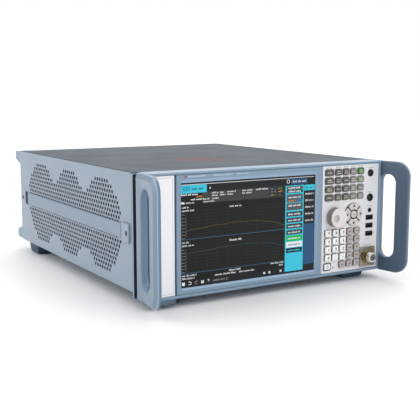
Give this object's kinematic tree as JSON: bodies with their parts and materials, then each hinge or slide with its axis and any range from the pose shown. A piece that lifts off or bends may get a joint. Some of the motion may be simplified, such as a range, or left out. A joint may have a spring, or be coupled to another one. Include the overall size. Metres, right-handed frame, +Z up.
{
  "type": "vector network analyzer",
  "caption": "Bench network analyzer in a full-rack metal case with front grips, colour touch screen, key panel, tuning knob, RF port and side carrying straps.",
  "frame": {"origin": "centre of the bounding box at the undersides of the feet", "axes": "+Z up, front panel faces -Y, +X to the right seen from the front"},
  "size_m": [0.441, 0.58, 0.1846],
  "materials": {
    "case_paint": "semi-matt blue-grey powder coat",
    "frame_paint": "satin blue-grey paint",
    "top_paint": "semi-matt darker blue-grey paint",
    "foot_rubber": "dark blue-grey rubber",
    "bumper_plastic": "moulded blue-grey plastic",
    "strap_rubber": "smooth blue-grey strap skin",
    "panel_white": "fine satin off-white",
    "key_white": "satin white key rubber",
    "key_grey": "satin warm grey key rubber",
    "key_dark": "satin dark grey key rubber",
    "display": "anti-glare touch glass over the lit display",
    "black_plastic": "fine black moulding",
    "bare_steel": "plain plated steel",
    "zinc_sheet": "zinc-plated sheet",
    "flange_metal": "grey passivated plate",
    "connector_nickel": "bright nickel-plated brass",
    "circuit_board": "green solder mask"
  },
  "bodies": {
    "case": {"front_frame": "frame_paint", "handle_left": "frame_paint", "handle_right": "frame_paint", "screen_bezel": "frame_paint", "top_cover": "top_paint", "bottom_cover": "case_paint", "side_cover_left": "case_paint", "side_cover_right": "case_paint", "foot_front_left": "foot_rubber", "foot_front_right": "foot_rubber", "foot_rear_left": "foot_rubber", "foot_rear_right": "foot_rubber", "rear_bumper_lower_left": "bumper_plastic", "rear_bumper_lower_right": "bumper_plastic", "rear_bumper_upper_left": "bumper_plastic", "rear_bumper_upper_right": "bumper_plastic", "filler_panel": "panel_white", "key_panel": "panel_white", "display_module": "display", "keypad_board": "circuit_board", "encoder_body": "bare_steel", "probe_power_socket": "black_plastic", "trigger_socket": "black_plastic", "headphone_jack": "black_plastic", "usb_port_1": "bare_steel", "usb_port_2": "bare_steel", "usb_port_3": "bare_steel", "rf_flange_plate": "flange_metal", "rf_connector": "connector_nickel", "chassis_tray": "zinc_sheet", "main_board": "circuit_board", "power_supply": "zinc_sheet", "rf_module": "zinc_sheet", "fan_housing": "black_plastic", "rear_panel": "case_paint", "mains_inlet": "black_plastic", "reference_input_socket": "connector_nickel", "reference_output_socket": "connector_nickel"},
    "knob": {"rotary_knob": "key_white", "encoder_shaft": "bare_steel"},
    "strap_left": {"carry_strap_left": "strap_rubber"},
    "strap_right": {"carry_strap_right": "strap_rubber"},
    "fan_rotor": {"fan_rotor": "black_plastic"},
    "mains_rocker": {"mains_rocker": "black_plastic"},
    "enter_key": {"enter_key": "key_grey"},
    "power_key": {"power_key": "key_white"},
    "function_row_1": {"function_key_row_1": "key_dark"},
    "function_row_2": {"function_key_row_2": "key_dark"},
    "function_row_3": {"function_key_row_3": "key_dark"},
    "function_row_4": {"function_key_row_4": "key_dark"},
    "number_row_1": {"number_key_row_1": "key_white"},
    "number_row_2": {"number_key_row_2": "key_white"},
    "number_row_3": {"number_key_row_3": "key_white"},
    "number_row_4": {"number_key_row_4": "key_white"},
    "number_row_5": {"number_key_row_5": "key_white"},
    "arrow_up": {"arrow_key_up": "key_grey"},
    "arrow_down": {"arrow_key_down": "key_grey"},
    "arrow_left": {"arrow_key_left": "key_grey"},
    "arrow_right": {"arrow_key_right": "key_grey"}
  },
  "joints": [
    {"name": "function_row_1_press", "type": "slide", "parent": "case", "child": "function_row_1", "axis": [0, 1, 0], "range_m": [0, 0.0012], "stiffness_N_per_m": 400},
    {"name": "function_row_2_press", "type": "slide", "parent": "case", "child": "function_row_2", "axis": [0, 1, 0], "range_m": [0, 0.0012], "stiffness_N_per_m": 400},
    {"name": "function_row_3_press", "type": "slide", "parent": "case", "child": "function_row_3", "axis": [0, 1, 0], "range_m": [0, 0.0012], "stiffness_N_per_m": 400},
    {"name": "function_row_4_press", "type": "slide", "parent": "case", "child": "function_row_4", "axis": [0, 1, 0], "range_m": [0, 0.0012], "stiffness_N_per_m": 400},
    {"name": "number_row_1_press", "type": "slide", "parent": "case", "child": "number_row_1", "axis": [0, 1, 0], "range_m": [0, 0.0012], "stiffness_N_per_m": 400},
    {"name": "number_row_2_press", "type": "slide", "parent": "case", "child": "number_row_2", "axis": [0, 1, 0], "range_m": [0, 0.0012], "stiffness_N_per_m": 400},
    {"name": "number_row_3_press", "type": "slide", "parent": "case", "child": "number_row_3", "axis": [0, 1, 0], "range_m": [0, 0.0012], "stiffness_N_per_m": 400},
    {"name": "number_row_4_press", "type": "slide", "parent": "case", "child": "number_row_4", "axis": [0, 1, 0], "range_m": [0, 0.0012], "stiffness_N_per_m": 400},
    {"name": "number_row_5_press", "type": "slide", "parent": "case", "child": "number_row_5", "axis": [0, 1, 0], "range_m": [0, 0.0012], "stiffness_N_per_m": 400},
    {"name": "arrow_up_press", "type": "slide", "parent": "case", "child": "arrow_up", "axis": [0, 1, 0], "range_m": [0, 0.0012], "stiffness_N_per_m": 400},
    {"name": "arrow_down_press", "type": "slide", "parent": "case", "child": "arrow_down", "axis": [0, 1, 0], "range_m": [0, 0.0012], "stiffness_N_per_m": 400},
    {"name": "arrow_left_press", "type": "slide", "parent": "case", "child": "arrow_left", "axis": [0, 1, 0], "range_m": [0, 0.0012], "stiffness_N_per_m": 400},
    {"name": "arrow_right_press", "type": "slide", "parent": "case", "child": "arrow_right", "axis": [0, 1, 0], "range_m": [0, 0.0012], "stiffness_N_per_m": 400},
    {"name": "enter_press", "type": "slide", "parent": "case", "child": "enter_key", "axis": [0, 1, 0], "range_m": [0, 0.0012], "stiffness_N_per_m": 400},
    {"name": "power_press", "type": "slide", "parent": "case", "child": "power_key", "axis": [0, 1, 0], "range_m": [0, 0.0012], "stiffness_N_per_m": 400},
    {"name": "knob_spin", "type": "hinge", "parent": "case", "child": "knob", "pos_m": [0.11, -0.24, 0.103], "axis": [0, 1, 0], "continuous": true},
    {"name": "strap_left_lift", "type": "slide", "parent": "case", "child": "strap_left", "axis": [-1, 0, 0], "range_m": [0, 0.02], "stiffness_N_per_m": 600},
    {"name": "strap_right_lift", "type": "slide", "parent": "case", "child": "strap_right", "axis": [1, 0, 0], "range_m": [0, 0.02], "stiffness_N_per_m": 600},
    {"name": "fan_spin", "type": "hinge", "parent": "case", "child": "fan_rotor", "pos_m": [-0.06, 0.246, 0.103], "axis": [0, 1, 0], "continuous": true},
    {"name": "mains_switch_tilt", "type": "hinge", "parent": "case", "child": "mains_rocker", "pos_m": [0.108, 0.2604, 0.055], "axis": [1, 0, 0], "range_deg": [0, 16]}
  ]
}
